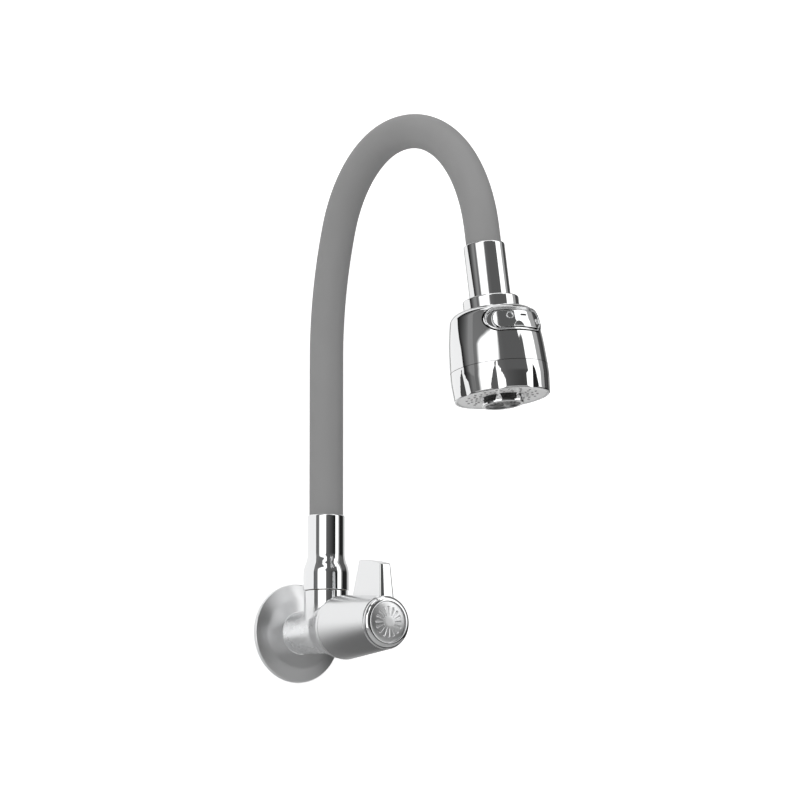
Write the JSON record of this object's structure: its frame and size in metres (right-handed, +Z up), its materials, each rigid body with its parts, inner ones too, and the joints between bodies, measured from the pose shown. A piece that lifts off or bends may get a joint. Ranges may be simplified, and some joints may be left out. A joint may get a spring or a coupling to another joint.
{
  "type": "utility sink faucet",
  "caption": "Wall-mounted utility sink faucet with a lever knob, a flexible gooseneck spout and a two-mode spray head.",
  "frame": {"origin": "where the axis of the inlet thread crosses the wall plane", "axes": "+Z up, +Y into the wall along the inlet thread, so the spout reaches towards -Y"},
  "size_m": [0.0633, 0.2628, 0.3344],
  "materials": {
    "chrome": "polished",
    "satin_chrome": "satin",
    "rocker_chrome": "polished",
    "brass": "machined",
    "steel": "satin",
    "ceramic": "polished",
    "seal_rubber": "matt",
    "sleeve_silicone": "matt",
    "tube_rubber": "matt",
    "face_grey": "matt",
    "nozzle_rubber": "matt",
    "core_plastic": "matt",
    "screen_dark": "satin"
  },
  "bodies": {
    "valve": {"faucet_body": "chrome", "snap_ring": "steel", "wall_flange": "chrome", "flange_seal": "seal_rubber", "inlet_strainer": "steel", "seat_seal": "seal_rubber", "bonnet": "brass", "fixed_disc": "ceramic"},
    "handle": {"moving_disc": "ceramic", "spindle": "brass", "spindle_seal": "seal_rubber", "circlip": "steel", "handle_knob": "satin_chrome", "handle_screw": "steel", "rosette_cap": "chrome"},
    "spout": {"swivel_nipple": "brass", "swivel_seals": "seal_rubber", "lower_ferrule": "chrome", "neck_sleeve_lower": "sleeve_silicone", "neck_conduit_lower": "steel", "water_tube_lower": "tube_rubber"},
    "neck_end": {"neck_sleeve_upper": "sleeve_silicone", "neck_conduit_upper": "steel", "water_tube_upper": "tube_rubber", "head_ferrule": "chrome", "head_nipple": "brass", "head_seal": "seal_rubber"},
    "spray_head": {"collar": "chrome", "head_shell": "chrome", "rocker_frame": "chrome", "bezel": "chrome", "face_plate": "face_grey", "nozzle_mat": "nozzle_rubber", "distributor": "core_plastic", "aerator_housing": "chrome", "aerator_insert": "screen_dark", "rocker_pin": "steel"},
    "rocker": {"rocker": "rocker_chrome"},
    "slide": {"mode_slide": "core_plastic"}
  },
  "joints": [
    {"name": "handle_turn", "type": "hinge", "parent": "valve", "child": "handle", "pos_m": [0, -0.08, 0], "axis": [0, -1, 0], "range_deg": [0, 90]},
    {"name": "spout_swivel", "type": "hinge", "parent": "valve", "child": "spout", "pos_m": [0, -0.035, 0.02], "axis": [0, 0, 1], "range_deg": [-85, 85]},
    {"name": "neck_bend", "type": "hinge", "parent": "spout", "child": "neck_end", "pos_m": [0, -0.10803, 0.29302], "axis": [1, 0, 0], "range_deg": [-35, 15], "deforming": ["neck_sleeve_lower", "neck_sleeve_upper", "neck_conduit_lower", "neck_conduit_upper", "water_tube_lower", "water_tube_upper"]},
    {"name": "head_swivel", "type": "hinge", "parent": "neck_end", "child": "spray_head", "pos_m": [0.00234, -0.21267, 0.17208], "axis": [0.0499, -0.1272, -0.9906], "continuous": true},
    {"name": "mode_rocker", "type": "hinge", "parent": "spray_head", "child": "rocker", "pos_m": [0.00282, -0.23036, 0.16459], "axis": [-0.0499, 0.1272, 0.9906], "range_deg": [0, 8]},
    {"name": "mode_slide_travel", "type": "slide", "parent": "spray_head", "child": "slide", "axis": [-0.9988, -0.0064, -0.0495], "range_m": [0, 0.0009086]}
  ],
  "couplings": [
    {"joint": "mode_slide_travel", "follows": "mode_rocker", "m_per_rad": 0.0065}
  ]
}
